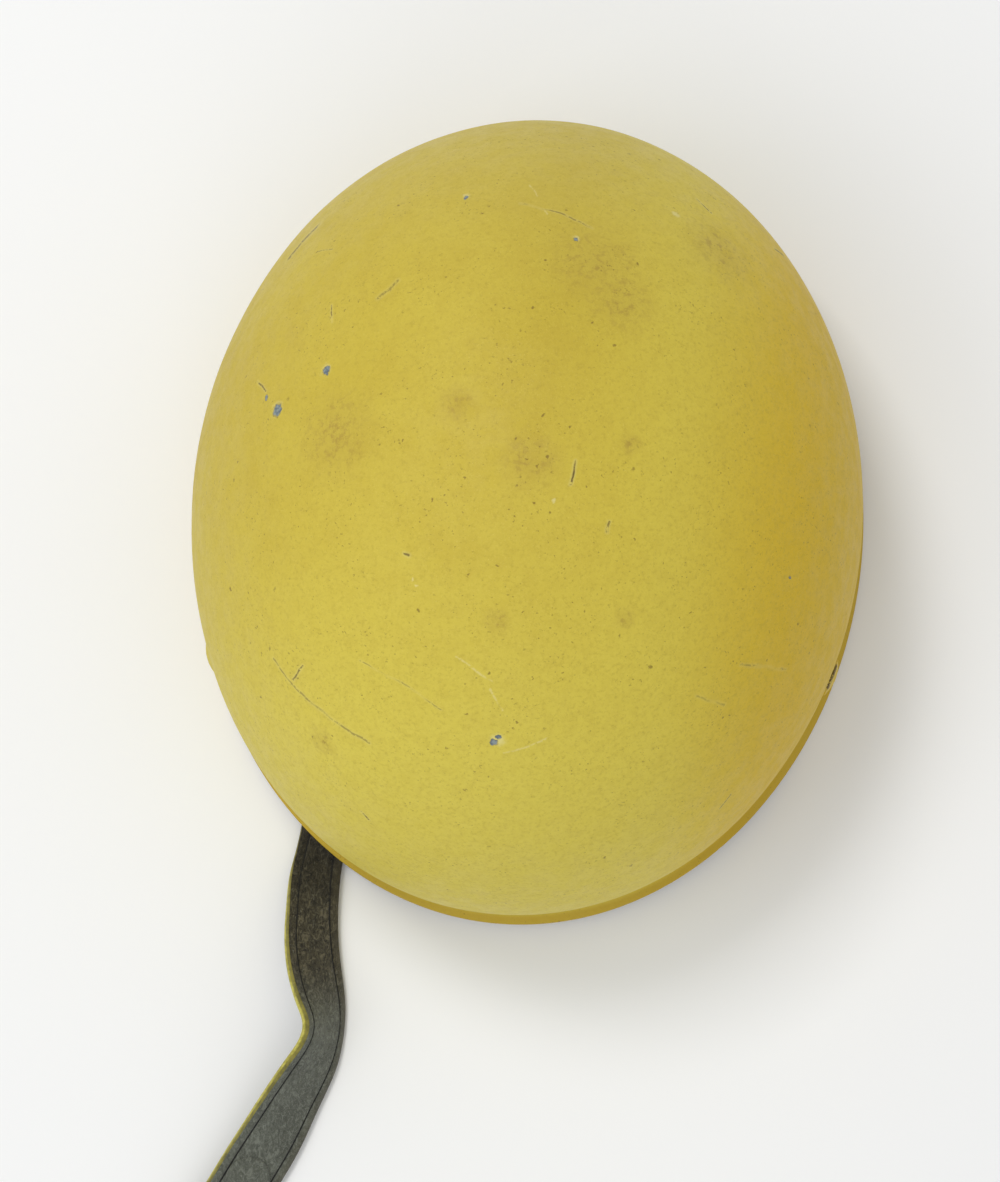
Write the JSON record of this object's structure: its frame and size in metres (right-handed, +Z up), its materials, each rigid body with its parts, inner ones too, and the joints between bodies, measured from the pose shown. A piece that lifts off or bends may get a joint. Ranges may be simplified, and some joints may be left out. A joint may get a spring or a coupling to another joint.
{
  "type": "airborne troops' steel helmet",
  "caption": "Deep brimless steel helmet with a flared rim, sprung-in leather liner, slotted bolts and a leather harness whose chin strap lies pulled out.",
  "frame": {"origin": "middle of the oval rim on the surface that the helmet stands on, which is the middle of the head's opening", "axes": "+X to the wearer's left, -Y to the brow, +Z up through the crown"},
  "size_m": [0.2191, 0.4094, 0.16],
  "materials": {
    "shell_paint": "matte mustard yellow paint with chips and scratches",
    "plain_steel": "plain, dulled",
    "band_alloy": "rolled sheet, dulled",
    "pad_rubber": "matte",
    "liner_leather": "smooth side in, worn",
    "strap_leather": "rough suede-like face, two stitched layers",
    "brass_fittings": "dulled"
  },
  "bodies": {
    "helmet": {"steel_shell": "shell_paint", "shell_bolts": "shell_paint", "bolt_spacers": "plain_steel", "bolt_washers": "plain_steel", "bolt_nuts": "plain_steel", "liner_band": "band_alloy", "band_pad_front": "pad_rubber", "band_pad_rear": "pad_rubber", "band_pad_left": "pad_rubber", "band_pad_right": "pad_rubber", "leather_liner": "liner_leather", "liner_rivets": "brass_fittings", "crown_lace": "liner_leather", "strap_eyelets": "brass_fittings", "chin_strap": "strap_leather", "stud_patch": "strap_leather", "press_stud": "brass_fittings", "rear_strap_right": "strap_leather", "rear_strap_left": "strap_leather", "front_strap_left": "strap_leather", "nape_strap": "strap_leather", "harness_rivets": "brass_fittings", "buckle_chape": "strap_leather"},
    "frame": {"buckle_frame": "plain_steel"},
    "prong": {"buckle_prong": "plain_steel"},
    "roller": {"buckle_roller": "plain_steel"},
    "keeper": {"strap_keeper": "strap_leather"}
  },
  "joints": [
    {"name": "frame_swing", "type": "hinge", "parent": "helmet", "child": "frame", "pos_m": [-0.012, -0.0885, 0.0031], "axis": [0, 1, 0], "range_deg": [0, 75]},
    {"name": "prong_swing", "type": "hinge", "parent": "frame", "child": "prong", "pos_m": [-0.012, -0.0885, 0.0031], "axis": [0, 1, 0], "range_deg": [0, 60]},
    {"name": "roller_spin", "type": "hinge", "parent": "frame", "child": "roller", "pos_m": [-0.02897, -0.0885, 0.00205], "axis": [0, 1, 0], "continuous": true},
    {"name": "keeper_slide", "type": "slide", "parent": "helmet", "child": "keeper", "axis": [1, 0, 0], "range_m": [0, 0.012]}
  ]
}
